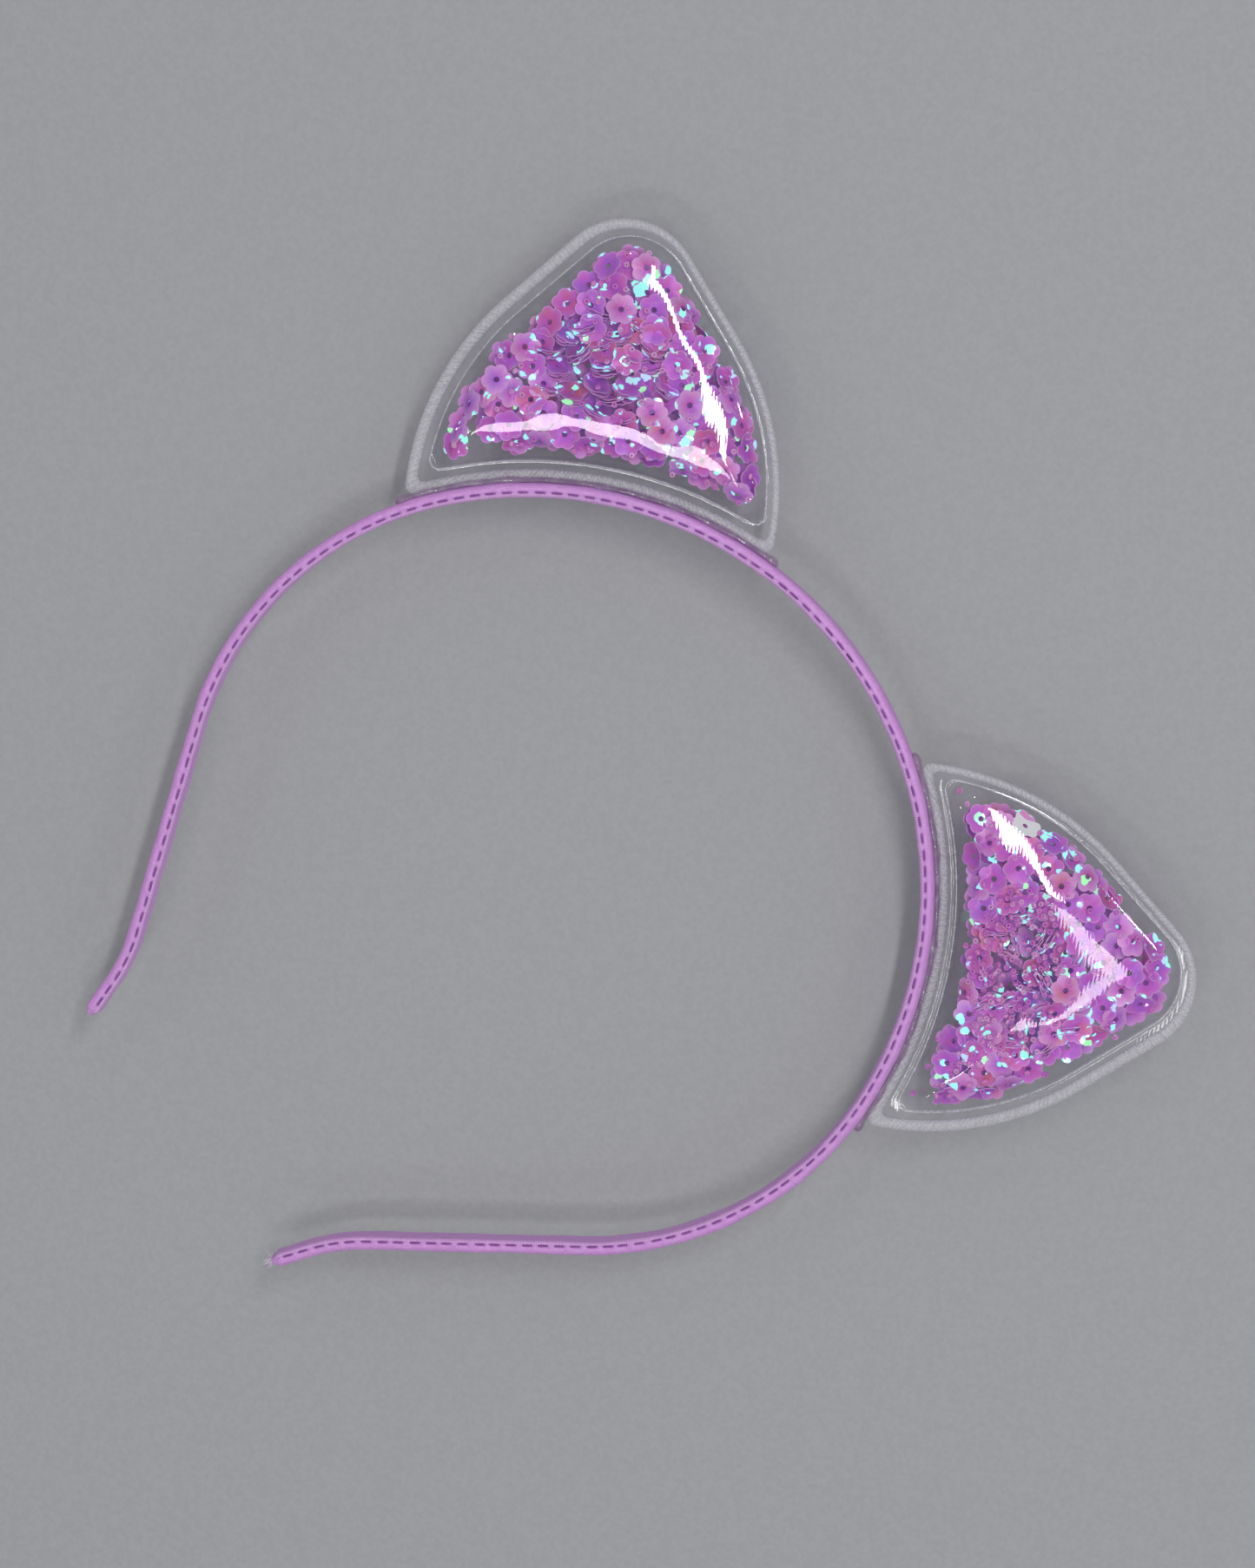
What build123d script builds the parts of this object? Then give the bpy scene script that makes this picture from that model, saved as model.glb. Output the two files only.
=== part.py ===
"""Cat-ear headband: a satin-covered spring band with two clear shaker ears full of flower sequins.

Frame: millimetres, the origin is the centre of the crown's arc, +Z runs up between the ears, +X to the
viewer's right and -Y to the viewer, so the band lies in the XZ plane and is worn with -Y facing forward.
"""

import math
import os

from build123d import *

# ---- driving dimensions -------------------------------------------------------------------------
CROWN_R = 62.0  # inner face of the crown, which sits on the head
BAND_T = 2.3  # covered band, in the radial direction
BAND_W = 5.0  # covered band, front to back
SLEEVE_ROUND = 0.9  # how rounded the covered band's long edges are
STRIP_T = 1.2  # spring strip inside the cover
STRIP_W = 4.2
STRIP_FIT = 0.05  # clearance between the strip and its cover, each side
STRIP_SHORT = 1.2  # the strip stops this far before the cover's end

CROWN_TURN = 68.0  # degrees of the crown's arc on each side of the top
TEMPLE_R = 52.8  # tighter bend below the ears, on the band's middle line
TEMPLE_TURN = 58.6
ARM_LENGTH = 34.8  # straight run of each arm
FLARE_R = 30.0  # outward curl before the tip
FLARE_TURN = 18.2
TIP_LENGTH = 5.2

TIP_PLUG_GAP = 0.1  # between the strip's end and the melted plug
TIP_PAD_W = 4.4  # the sealed end where it leaves the cover
TIP_PAD_T = 1.9
TIP_PAD_ROUND = 0.6
TIP_PINCH = 1.3  # it runs on this far, to a flat pinched edge
PINCH_W = 3.4
PINCH_T = 0.8
PINCH_ROUND = 0.3

SHOULDER_HINGE = 11.5  # how far along the band, from the top, each side first flexes
ARM_HINGE = 95.0  # and where each arm flexes
COVER_GAP = 0.3  # the cover stops this far from a flex point, on each side
STRIP_GAP = 0.1  # between a strip's round nose and the next strip

SEAM_W = 0.6  # valley along the front edge where the ribbon's two edges meet
SEAM_D = 0.22
SEAM_DROP = 0.35  # the valley's middle lies this far to the head's side of the band's middle
STITCH_PITCH = 2.6
STITCH_LENGTH = 1.7
STITCH_R = 0.12
STITCH_FIT = 0.02

EAR_ANGLE = 44.6  # each ear's middle, measured from the top
EAR_HALF = 29.5  # half of the ear's widest size
EAR_FOOT_R = 64.9  # the ear's concave foot, concentric with the crown
EAR_TOP_R = 106.6  # the ear's tip, from the crown's centre
EAR_SHOULDER_Z = 61.5  # where the ear's sides start to lean in
EAR_SIDE_R = 46.0  # the bulging sides
EAR_TIP_R = 12.0
EAR_CORNER_R = 2.0

RIM_W = 1.3  # fused bead round the outside of each ear
RIM_T = 1.8
RIM_ROUND = 0.4
RIM_CORNER_R = 1.2  # corners of the bead's inner edge
BEAD_TURN = -0.17  # degrees that the bead's inner edge is off centre, towards the top
WELD_INSET = 2.7  # outer edge to the weld line at the sides
WELD_FOOT = 2.9  # the same at the foot
WELD_TURN = -0.5  # degrees that the pouch is off centre in its rim, towards the top
WELD_CORNER_R = 3.0
FILM_T = 0.5
DOME_H = 5.1  # height of each half of the pouch over the mid plane
DOME_ROUND = 3.1

GLUE_W = 3.0  # clear glue under each ear's foot
GLUE_FIT = 0.02
GLUE_HALF_ANGLE = 27.6

FLOWER_R = 2.5  # over the petals
FLOWER_T = 0.25
FLOWER_HOLE_R = 0.46
FLOWER_PITCH = 5.3
FLOWER_LAYERS = 4
LAYER_PITCH = 1.6
FLOWER_TILT = 8.0  # largest lean of a sequin, in degrees
PETALS = 6
PETAL_SHARE = 0.435  # a petal's radius as a share of the sequin's
GOLDEN_TURN = 137.5  # each sequin is turned this much more than the last
SEED_R = 0.45
SEED_LAYERS = 3
SEED_PITCH = 1.2
FILL_ROOM = 1.5  # free room round the loose filling, so that it can shift

CLOSE = 1e-3  # lengths that differ by less than this count as equal

# ---- the band's path ----------------------------------------------------------------------------
MID_R = CROWN_R + BAND_T / 2
OUTER_R = CROWN_R + BAND_T
# Each stretch is (length, turn in degrees): positive turns towards the head, negative away from it.
STRETCHES = [
    (MID_R * math.radians(CROWN_TURN), CROWN_TURN),
    (TEMPLE_R * math.radians(TEMPLE_TURN), TEMPLE_TURN),
    (ARM_LENGTH, 0.0),
    (FLARE_R * math.radians(FLARE_TURN), -FLARE_TURN),
    (TIP_LENGTH, 0.0),
]
BAND_END = sum(length for length, _ in STRETCHES)
STRIP_END = BAND_END - STRIP_SHORT


def along(distance):
    """(x, z, heading) on the band's middle line, this far from the top on the right side.

    The heading is in degrees below +X. A negative distance gives the left side's mirror image.
    """
    if distance < 0:
        x, z, heading = along(-distance)
        return -x, z, -heading
    x, z, heading = 0.0, MID_R, 0.0
    for length, turn in STRETCHES:
        step = min(distance, length)
        here = turn * step / length
        chord = step
        if turn:
            half = math.radians(here) / 2
            chord = step * (math.sin(half) / half if half else 1.0)
        aim = math.radians(heading + here / 2)
        x += chord * math.cos(aim)
        z -= chord * math.sin(aim)
        heading += here
        distance -= step
        if distance <= 0:
            break
    return x, z, heading


def band_path(start, end):
    """The middle line between two distances from the top, as a wire of true arcs and lines."""
    edges, at = [], 0.0
    for length, turn in STRETCHES:
        low, high = max(start, at), min(end, at + length)
        at += length
        if high - low < CLOSE:
            continue
        a, m, b = (Vector(p[0], 0, p[1]) for p in map(along, (low, (low + high) / 2, high)))
        edges.append(Edge.make_three_point_arc(a, m, b) if turn else Edge.make_line(a, b))
    return Wire(edges)


def across(distance, y=0.0, lift=0.0):
    """A plane across the band: its x runs front to back and its y runs away from the head."""
    x, z, heading = along(distance)
    turn = math.radians(heading)
    ahead = Vector(math.cos(turn), 0, -math.sin(turn))
    outward = Vector(math.sin(turn), 0, math.cos(turn))
    origin = Vector(x, y, z) + outward * lift
    return Plane(origin=origin, x_dir=Vector(0, 1, 0), z_dir=ahead)


def swept(start, end, section, y=0.0):
    """A section carried along the band from start to end on the right side."""
    path = band_path(start, end).moved(Location((0, y, 0)))
    return sweep(across(start, y) * section, path=path)


def whole_crown(make, half_length):
    """A solid that spans the top: the right half and its mirror image, fused."""
    right = make(0.0, half_length)
    return right + mirror(right, Plane.YZ)


def left_of(shape):
    return mirror(shape, Plane.YZ)


# ---- band parts -----------------------------------------------------------------------------------
def strip_solid(start, end):
    return swept(start, end, Rectangle(STRIP_W, STRIP_T))


def nosed_strip(hinge, end):
    """A strip that starts with a round nose on the flex point's axis."""
    x, z, _ = along(hinge)
    nose = Pos(x, 0, z) * Rot(90, 0, 0) * Cylinder(STRIP_T / 2, STRIP_W)
    return strip_solid(hinge, end) + nose


def cover_solid(start, end):
    """The satin cover: a tube round the strip, with the seam's valley along its front edge."""
    outside = swept(start, end, RectangleRounded(BAND_W, BAND_T, SLEEVE_ROUND))
    fit = 2 * STRIP_FIT
    inside = swept(start, end, Rectangle(STRIP_W + fit, STRIP_T + fit))
    groove = Pos(0, -SEAM_DROP) * Rectangle(2 * SEAM_D, SEAM_W)
    valley = swept(start, end, groove, y=-BAND_W / 2)
    return outside - inside - valley


def stitches(start, end):
    """Running stitches lying in the seam's valley, evenly spaced along the whole band."""
    made = []
    first = math.ceil((start + STITCH_LENGTH / 2) / STITCH_PITCH)
    last = math.floor((end - STITCH_LENGTH / 2) / STITCH_PITCH)
    sunk = SEAM_D - STITCH_R - STITCH_FIT
    for n in range(first, last + 1):
        seat = across(n * STITCH_PITCH, y=sunk - BAND_W / 2, lift=-SEAM_DROP)
        made.append(seat * Cylinder(STITCH_R, STITCH_LENGTH))
    return made


def sealed_tip():
    """The ribbon's end past the strip, pressed flat and melted shut."""
    plug = swept(STRIP_END + TIP_PLUG_GAP, BAND_END, Rectangle(STRIP_W, STRIP_T))
    end = across(BAND_END)
    pad = end * RectangleRounded(TIP_PAD_W, TIP_PAD_T, TIP_PAD_ROUND)
    pinch = end.offset(TIP_PINCH) * RectangleRounded(PINCH_W, PINCH_T, PINCH_ROUND)
    return plug + loft([pad, pinch])


# ---- ear parts, drawn upright about the crown's centre ----------------------------------------------
SIDE_X = EAR_HALF - EAR_SIDE_R  # centre of the right side's arc
TIP_Z = EAR_TOP_R - EAR_TIP_R  # centre of the tip's arc
SIDE_TO_TIP = math.hypot(SIDE_X, TIP_Z - EAR_SHOULDER_Z)
# Where the side's arc ends and the tip's begins, as an angle from +X, so that one line touches both.
EAR_LEAN = math.atan2(TIP_Z - EAR_SHOULDER_Z, -SIDE_X) - math.acos(
    (EAR_SIDE_R - EAR_TIP_R) / SIDE_TO_TIP
)


def ear_face(inset, foot_r, corner_r, turn=0.0):
    """The ear's outline, drawn in by inset from its outer edge, on the XZ plane."""
    side_r = EAR_SIDE_R - inset
    tip_r = EAR_TIP_R - inset
    # Where the side's arc meets the foot's, as an angle about the side's centre.
    away = math.hypot(SIDE_X, EAR_SHOULDER_Z)
    spread = math.acos((side_r**2 + away**2 - foot_r**2) / (2 * side_r * away))
    start = math.atan2(-EAR_SHOULDER_Z, -SIDE_X) + spread

    def side(angle):
        return SIDE_X + side_r * math.cos(angle), EAR_SHOULDER_Z + side_r * math.sin(angle)

    def tip(angle):
        return tip_r * math.cos(angle), TIP_Z + tip_r * math.sin(angle)

    def arc(way, *pairs):
        return Edge.make_three_point_arc(*(Vector(way * x, 0, z) for x, z in pairs))

    corner_x, corner_z = side(start)
    side_middle, tip_middle = (start + EAR_LEAN) / 2, (EAR_LEAN + math.pi / 2) / 2
    edges = [arc(1, (-corner_x, corner_z), (0, foot_r), (corner_x, corner_z))]
    for way in (1, -1):
        edges.append(arc(way, side(start), side(side_middle), side(EAR_LEAN)))
        ends = [Vector(way * x, 0, z) for x, z in (side(EAR_LEAN), tip(EAR_LEAN))]
        edges.append(Edge.make_line(*ends))
        edges.append(arc(way, tip(EAR_LEAN), tip(tip_middle), tip(math.pi / 2)))
    face = Face(Wire(edges))
    corners = [v for v in face.vertices() if abs(v.Z - corner_z) < CLOSE]
    return Rot(0, turn, 0) * face.fillet_2d(corner_r, corners)


def slab(face, low, high):
    """The solid over a face on the XZ plane, between two values of y."""
    solid = extrude(face, amount=high - low, dir=(0, 1, 0))
    return Pos(0, low, 0) * solid


def flange_face():
    """What lies inside the rim's bead."""
    return ear_face(RIM_W, EAR_FOOT_R + RIM_W, RIM_CORNER_R, BEAD_TURN)


def dome(wall, height, rounding):
    """A pillow on the XZ plane, wall inside the weld line, rounded along its top edge."""
    foot_r = EAR_FOOT_R + WELD_FOOT + wall
    face = ear_face(WELD_INSET + wall, foot_r, WELD_CORNER_R - wall, WELD_TURN)
    made = slab(face, 0, height)
    return fillet(made.edges().group_by(Axis.Y)[-1], rounding)


def film():
    """One moulded half of the pouch, with its flange: the back half."""
    outside = slab(flange_face(), 0, FILM_T) + dome(0, DOME_H, DOME_ROUND)
    return outside - dome(FILM_T, DOME_H - FILM_T, DOME_ROUND - FILM_T)


def weld_rim():
    """The bead where both films melt together, all the way round the outside."""
    outside = slab(ear_face(0, EAR_FOOT_R, EAR_CORNER_R), -RIM_T / 2, RIM_T / 2)
    outside = chamfer(outside.edges().group_by(Axis.Y)[-1], RIM_ROUND)
    outside = chamfer(outside.edges().group_by(Axis.Y)[0], RIM_ROUND)
    return outside - slab(flange_face(), -RIM_T, RIM_T)


def glue_bead():
    """Clear glue between the band's outer face and the ear's foot."""
    reach = math.radians(GLUE_HALF_ANGLE)
    low, high = OUTER_R + GLUE_FIT, EAR_FOOT_R - GLUE_FIT

    def at(radius, angle):
        return Vector(radius * math.sin(angle), 0, radius * math.cos(angle))

    edges = [
        Edge.make_three_point_arc(at(low, -reach), at(low, 0), at(low, reach)),
        Edge.make_line(at(low, reach), at(high, reach)),
        Edge.make_three_point_arc(at(high, reach), at(high, 0), at(high, -reach)),
        Edge.make_line(at(high, -reach), at(low, -reach)),
    ]
    return slab(Face(Wire(edges)), -GLUE_W / 2, GLUE_W / 2)


def ear_depth(x, z):
    """How far a point lies inside the ear's outer edge."""
    x = abs(x)
    foot = math.hypot(x, z) - EAR_FOOT_R
    turn = math.atan2(z - EAR_SHOULDER_Z, x - SIDE_X)
    if turn < 0:
        side = EAR_HALF - x
    elif turn < EAR_LEAN:
        side = EAR_SIDE_R - math.hypot(x - SIDE_X, z - EAR_SHOULDER_Z)
    elif math.atan2(z - TIP_Z, x) > EAR_LEAN:
        side = EAR_TIP_R - math.hypot(x, z - TIP_Z)
    else:
        side = EAR_TIP_R - (x * math.cos(EAR_LEAN) + (z - TIP_Z) * math.sin(EAR_LEAN))
    return min(foot, side)


def flower():
    """One sequin: round petals about a small hole, flat on the XZ plane."""
    petal_r = FLOWER_R * PETAL_SHARE
    reach = FLOWER_R - petal_r
    disc = Circle(reach)
    for n in range(PETALS):
        turn = math.radians(n * 360 / PETALS)
        disc += Pos(reach * math.cos(turn), reach * math.sin(turn)) * Circle(petal_r)
    disc -= Circle(FLOWER_HOLE_R)
    return Rot(90, 0, 0) * extrude(disc, amount=FLOWER_T / 2, both=True)


def fill_columns():
    """Centres of a close-packed grid of sequins that all keep clear of the pouch's walls."""
    keep_in = WELD_INSET + FILM_T + FILL_ROOM + FLOWER_R
    row_pitch = FLOWER_PITCH * math.sqrt(3) / 2
    rows = int((EAR_TOP_R - EAR_SHOULDER_Z) / row_pitch) + 1
    reach = int(EAR_HALF / FLOWER_PITCH) + 1
    for row in range(rows):
        z = EAR_SHOULDER_Z + row * row_pitch
        for column in range(-reach, reach + 1):
            x = (column + (row % 2) / 2) * FLOWER_PITCH
            if ear_depth(x, z) >= keep_in:
                yield x, z


def layer_heights(count, pitch):
    return [(n - (count - 1) / 2) * pitch for n in range(count)]


def flower_sequins():
    """Loose sequins in stacked layers, each leaning a little its own way."""
    one, made = flower(), []
    for x, z in fill_columns():
        for y in layer_heights(FLOWER_LAYERS, LAYER_PITCH):
            swing = GOLDEN_TURN * len(made)
            lean_x = FLOWER_TILT * math.cos(math.radians(swing))
            lean_z = FLOWER_TILT * math.sin(math.radians(swing))
            made.append(Pos(x, y, z) * Rot(lean_x, swing, lean_z) * one)
    return made


def seed_beads():
    """Loose seed beads in the gaps between the columns of sequins."""
    made = []
    gap = FLOWER_PITCH / math.sqrt(3)
    for x, z in fill_columns():
        if ear_depth(x, z + gap) < WELD_INSET + FILM_T + FILL_ROOM + SEED_R:
            continue
        for y in layer_heights(SEED_LAYERS, 2 * SEED_PITCH):
            made.append(Pos(x, y, z + gap) * Sphere(SEED_R))
    return made


# ---- writing ------------------------------------------------------------------------------------------
def write(name, shapes):
    shapes = shapes if isinstance(shapes, list) else [shapes]
    solids = [solid for shape in shapes for solid in shape.solids()]
    export_step(Compound(children=solids) if len(solids) > 1 else solids[0], f"parts/{name}.step")


def write_both_sides(name, shapes):
    """The same sub-part on the right and, mirrored, on the left."""
    shapes = shapes if isinstance(shapes, list) else [shapes]
    write(f"right_{name}", shapes)
    write(f"left_{name}", [left_of(shape) for shape in shapes])


def write_ears(name, shapes):
    """The same ear sub-part, turned to its place on the right and mirrored on the left."""
    shapes = shapes if isinstance(shapes, list) else [shapes]
    write_both_sides(f"ear_{name}", [Rot(0, EAR_ANGLE, 0) * shape for shape in shapes])


def main():
    os.makedirs("parts", exist_ok=True)

    nose = STRIP_T / 2 + STRIP_GAP
    write("crown_spring_strip", whole_crown(strip_solid, SHOULDER_HINGE - nose))
    write_both_sides("shoulder_spring_strip", nosed_strip(SHOULDER_HINGE, ARM_HINGE - nose))
    write_both_sides("arm_spring_strip", nosed_strip(ARM_HINGE, STRIP_END))

    shoulder = SHOULDER_HINGE + COVER_GAP, ARM_HINGE - COVER_GAP
    arm = ARM_HINGE + COVER_GAP, BAND_END
    write("crown_satin_cover", whole_crown(cover_solid, SHOULDER_HINGE - COVER_GAP))
    write_both_sides("shoulder_satin_cover", cover_solid(*shoulder))
    write_both_sides("arm_satin_cover", cover_solid(*arm))

    crown_end = SHOULDER_HINGE - COVER_GAP
    write("crown_seam_stitches", stitches(-crown_end, crown_end))
    write_both_sides("shoulder_seam_stitches", stitches(*shoulder))
    write_both_sides("arm_seam_stitches", stitches(*arm))
    write_both_sides("sealed_tip", sealed_tip())

    write_ears("front_film", mirror(film(), Plane.XZ))
    write_ears("back_film", film())
    write_ears("weld_rim", weld_rim())
    write_ears("glue_bead", glue_bead())
    write_ears("flower_sequins", [Rot(0, WELD_TURN, 0) * shape for shape in flower_sequins()])
    write_ears("seed_beads", [Rot(0, WELD_TURN, 0) * shape for shape in seed_beads()])


main()
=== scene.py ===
import math

import bpy
import numpy as np
from mathutils import Matrix, Vector

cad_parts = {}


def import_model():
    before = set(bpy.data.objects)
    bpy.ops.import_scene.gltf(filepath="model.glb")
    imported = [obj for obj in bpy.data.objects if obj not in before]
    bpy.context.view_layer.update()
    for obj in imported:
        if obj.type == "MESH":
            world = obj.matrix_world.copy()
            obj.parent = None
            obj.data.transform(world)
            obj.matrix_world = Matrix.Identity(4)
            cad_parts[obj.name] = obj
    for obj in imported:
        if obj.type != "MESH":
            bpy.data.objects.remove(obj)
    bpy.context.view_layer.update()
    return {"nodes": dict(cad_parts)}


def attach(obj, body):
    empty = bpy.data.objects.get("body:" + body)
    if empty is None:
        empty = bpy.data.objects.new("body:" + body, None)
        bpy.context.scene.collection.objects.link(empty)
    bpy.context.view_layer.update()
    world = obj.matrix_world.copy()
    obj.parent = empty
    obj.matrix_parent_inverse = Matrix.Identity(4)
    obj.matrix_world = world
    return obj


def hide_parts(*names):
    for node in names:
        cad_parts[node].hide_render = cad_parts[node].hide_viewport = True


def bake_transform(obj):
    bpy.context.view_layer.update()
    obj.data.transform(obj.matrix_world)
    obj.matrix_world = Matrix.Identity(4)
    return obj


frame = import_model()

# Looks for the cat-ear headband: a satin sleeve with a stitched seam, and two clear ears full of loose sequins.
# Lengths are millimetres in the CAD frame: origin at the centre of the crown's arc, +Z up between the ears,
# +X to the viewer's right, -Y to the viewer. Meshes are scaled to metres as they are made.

rng = np.random.default_rng(26)
MM = 0.001
RIGHT, LEFT = 1, -1
SIDES = ((RIGHT, "right"), (LEFT, "left"))

# ---- the CAD's sizes --------------------------------------------------------------------------------
BAND_T, BAND_W, BAND_ROUND = 2.3, 5.0, 0.9
MID_R = 62.0 + BAND_T / 2
STRETCHES = (  # length along the band, turn towards the head in degrees
    (MID_R * math.radians(68.0), 68.0),
    (52.8 * math.radians(58.6), 58.6),
    (34.8, 0.0),
    (30.0 * math.radians(18.2), -18.2),
    (5.2, 0.0),
)
BAND_END = sum(length for length, _ in STRETCHES)
CAVITY_W, CAVITY_T, CAVITY_ROUND = 4.3, 1.3, 0.15
SEAM_DROP = 0.35
STITCH_PITCH, STITCH_LENGTH = 2.6, 1.75
SPLIT_AT = 50.0  # the sleeve's top and side pieces meet here, under each ear
SHOULDER_ZONE = (3.0, 19.0)
ARM_ZONE = (84.0, 106.0)

EAR_ANGLE = 44.6
EAR_FOOT_R, EAR_TOP_R = 64.9, 106.6
SHOULDER_Z, SIDE_R, TIP_R = 61.5, 46.0, 12.0
SIDE_X, TIP_Z = 29.5 - SIDE_R, EAR_TOP_R - TIP_R
EAR_LEAN = math.atan2(TIP_Z - SHOULDER_Z, -SIDE_X) - math.acos(
    (SIDE_R - TIP_R) / math.hypot(SIDE_X, TIP_Z - SHOULDER_Z)
)
EAR_MIDDLE = 82.0  # height of the point that the ear's loops go round
RIM_W, RIM_T, BEAD_TURN = 1.5, 1.8, -0.3
WELD_SIDE, WELD_FOOT, WELD_TURN = 2.7, 2.9, -0.5
FLANGE_T, FILM_WALL = 0.45, 0.3
DOME_H, DOME_SPAN, DOME_POWER = 5.0, 15.0, 2.4
GLUE_R = 64.65
FLOWER_R, FLOWER_T, FLOWER_HOLE_R, PETALS = 2.5, 0.14, 0.46, 6
BEAD_R = 0.52
TRAVEL = (-0.4, 0.0, 0.6)  # the filling's slide along the ear


# ---- meshes -------------------------------------------------------------------------------------------
class Soup:
    """Points, faces and one colour a point, gathered for one mesh."""

    def __init__(self):
        self.points, self.faces, self.values, self.count = [], [], [], 0

    def add(self, points, faces, values=None):
        points = np.asarray(points, float).reshape(-1, 3)
        if values is None:
            values = np.zeros((len(points), 3))
        self.points.append(points)
        self.values.append(np.broadcast_to(values, (len(points), 3)))
        self.faces.extend((np.asarray(block) + self.count).tolist() for block in faces)
        self.count += len(points)

    def piece(self, name, material, way=RIGHT):
        """The mesh as an object. The left side's points are mirrored, so its faces are turned over."""
        faces = [face[::way] for block in self.faces for face in block]
        mesh = bpy.data.meshes.new(name)
        mesh.from_pydata((np.concatenate(self.points) * MM).tolist(), [], faces)
        data = mesh.attributes.new("detail", "FLOAT_VECTOR", "POINT")
        data.data.foreach_set("vector", np.concatenate(self.values).astype(np.float32).ravel())
        mesh.shade_smooth()
        mesh.set_sharp_from_angle(angle=math.radians(50))
        mesh.materials.append(material)
        made = bpy.data.objects.new(name, mesh)
        bpy.context.scene.collection.objects.link(made)
        return made


def grid_faces(rows, columns, wrap=True):
    """Four-sided faces over a grid of points, row by row, closed round each row if wrap is set."""
    last = columns if wrap else columns - 1
    row, column = np.meshgrid(np.arange(rows - 1), np.arange(last), indexing="ij")
    here, there = row * columns + column, row * columns + (column + 1) % columns
    return np.stack([here, there, there + columns, here + columns], -1).reshape(-1, 4)


def fan_faces(start, columns, hub, flip=False):
    ring = start + np.arange(columns)
    after = start + (np.arange(columns) + 1) % columns
    pair = (after, ring) if flip else (ring, after)
    return np.stack([*pair, np.full(columns, hub)], 1)


def tube(soup, path, radii, sides=8, aside=(0, 1, 0), values=None):
    """A round tube with closed ends along a path."""
    path = np.asarray(path, float)
    ahead = np.gradient(path, axis=0)
    across = np.cross(ahead, aside)
    across /= np.linalg.norm(across, axis=1)[:, None]
    over = np.cross(across, ahead)
    over /= np.linalg.norm(over, axis=1)[:, None]
    turn = np.linspace(0, math.tau, sides, endpoint=False)[None, :, None]
    ring = np.cos(turn) * across[:, None] + np.sin(turn) * over[:, None]
    points = path[:, None] + np.broadcast_to(radii, len(path))[:, None, None] * ring
    count = len(path)
    points = np.concatenate([points.reshape(-1, 3), path[:1], path[-1:]])
    ends = [fan_faces(0, sides, count * sides), fan_faces((count - 1) * sides, sides, count * sides + 1, True)]
    soup.add(points, [grid_faces(count, sides)[:, ::-1], *ends], values)


def smooth(value, low, high):
    share = np.clip((value - low) / (high - low), 0, 1)
    return share * share * (3 - 2 * share)


def waves(count, shortest, longest):
    """Directions, lengths and phases for a smooth random surface over two lengths."""
    size = math.tau / np.exp(rng.uniform(math.log(shortest), math.log(longest), count))
    heading = rng.uniform(0, math.tau, count)
    return size * np.cos(heading), size * np.sin(heading), rng.uniform(0, math.tau, count)


def rolling(a, b, field):
    """A smooth random height, about -1 to 1, over two lengths."""
    u, v, phase = field
    total = sum(np.sin(u[n] * a + v[n] * b + phase[n]) for n in range(len(u)))
    return total / math.sqrt(len(u))


# ---- the band's sleeve --------------------------------------------------------------------------------
def along(distance):
    """(x, z, heading) on the band's middle line at this distance from the top, negative on the left."""
    way = math.copysign(1, distance)
    left = abs(distance)
    x, z, heading = 0.0, MID_R, 0.0
    for n, (length, turn) in enumerate(STRETCHES):
        step = left if n == len(STRETCHES) - 1 else min(left, length)
        here = math.radians(turn) * step / length
        chord = step * (math.sin(here / 2) / (here / 2) if here else 1.0)
        x += chord * math.cos(heading + here / 2)
        z -= chord * math.sin(heading + here / 2)
        heading += here
        left -= step
        if left <= 0:
            break
    return way * x, z, way * heading


def section(width, thickness, rounding, spots):
    """Round a rounded box: (across, lift) points and their outward directions at these distances."""
    quarter = np.linspace(0, math.pi / 2, 24)
    angle = np.concatenate([quarter + n * math.pi / 2 for n in range(4)])
    flat = np.array([width / 2 - rounding, thickness / 2 - rounding])
    corner = np.repeat([(1, 1), (-1, 1), (-1, -1), (1, -1)], len(quarter), axis=0) * flat
    points = corner + rounding * np.stack([np.cos(angle), np.sin(angle)], 1)
    reach = np.concatenate([[0], np.cumsum(np.hypot(*np.diff(points, axis=0).T))])
    total = reach[-1] + 2 * flat[1]
    at = np.asarray(spots) * total
    y, lift, way = (np.interp(at, reach, column) for column in (*points.T, angle))
    after = at > reach[-1]
    lift[after] = points[-1, 1] + (at[after] - reach[-1])
    return np.stack([y, lift], 1), np.stack([np.cos(way), np.sin(way)], 1), total


ROUND_LENGTH = section(BAND_W, BAND_T, BAND_ROUND, [0.0])[2]
SEAM_AT = math.pi * BAND_ROUND + BAND_W - 2 * BAND_ROUND + BAND_T / 2 - BAND_ROUND + SEAM_DROP
FINE = np.arange(-0.84, 0.85, 0.08)
SPOTS = np.concatenate([
    np.linspace(0, SEAM_AT + FINE[0], 20, endpoint=False),
    SEAM_AT + FINE,
    np.linspace(SEAM_AT + FINE[-1], ROUND_LENGTH, 17, endpoint=False)[1:],
]) / ROUND_LENGTH
SAG_FIELD = waves(9, 5.0, 18.0)
GATHER_FIELD = waves(14, 0.7, 1.9)
STITCH_SHIFT = rng.normal(0, 0.09, 2 * int(BAND_END / STITCH_PITCH) + 3)
STITCH_TURN = rng.normal(0, 0.035, len(STITCH_SHIFT))


def stitch_middle(number):
    return number * STITCH_PITCH + STITCH_SHIFT[number + len(STITCH_SHIFT) // 2]


def placed(stations, section_points, lift=0.0):
    """Section points carried to these distances along the band."""
    rows = np.array([along(s) for s in stations])
    x, z, turn = (column[:, None] for column in rows.T)
    y, out = section_points[..., 0], section_points[..., 1] + lift
    return np.stack([x + np.sin(turn) * out, y + 0 * out * x, z + np.cos(turn) * out], -1)


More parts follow.
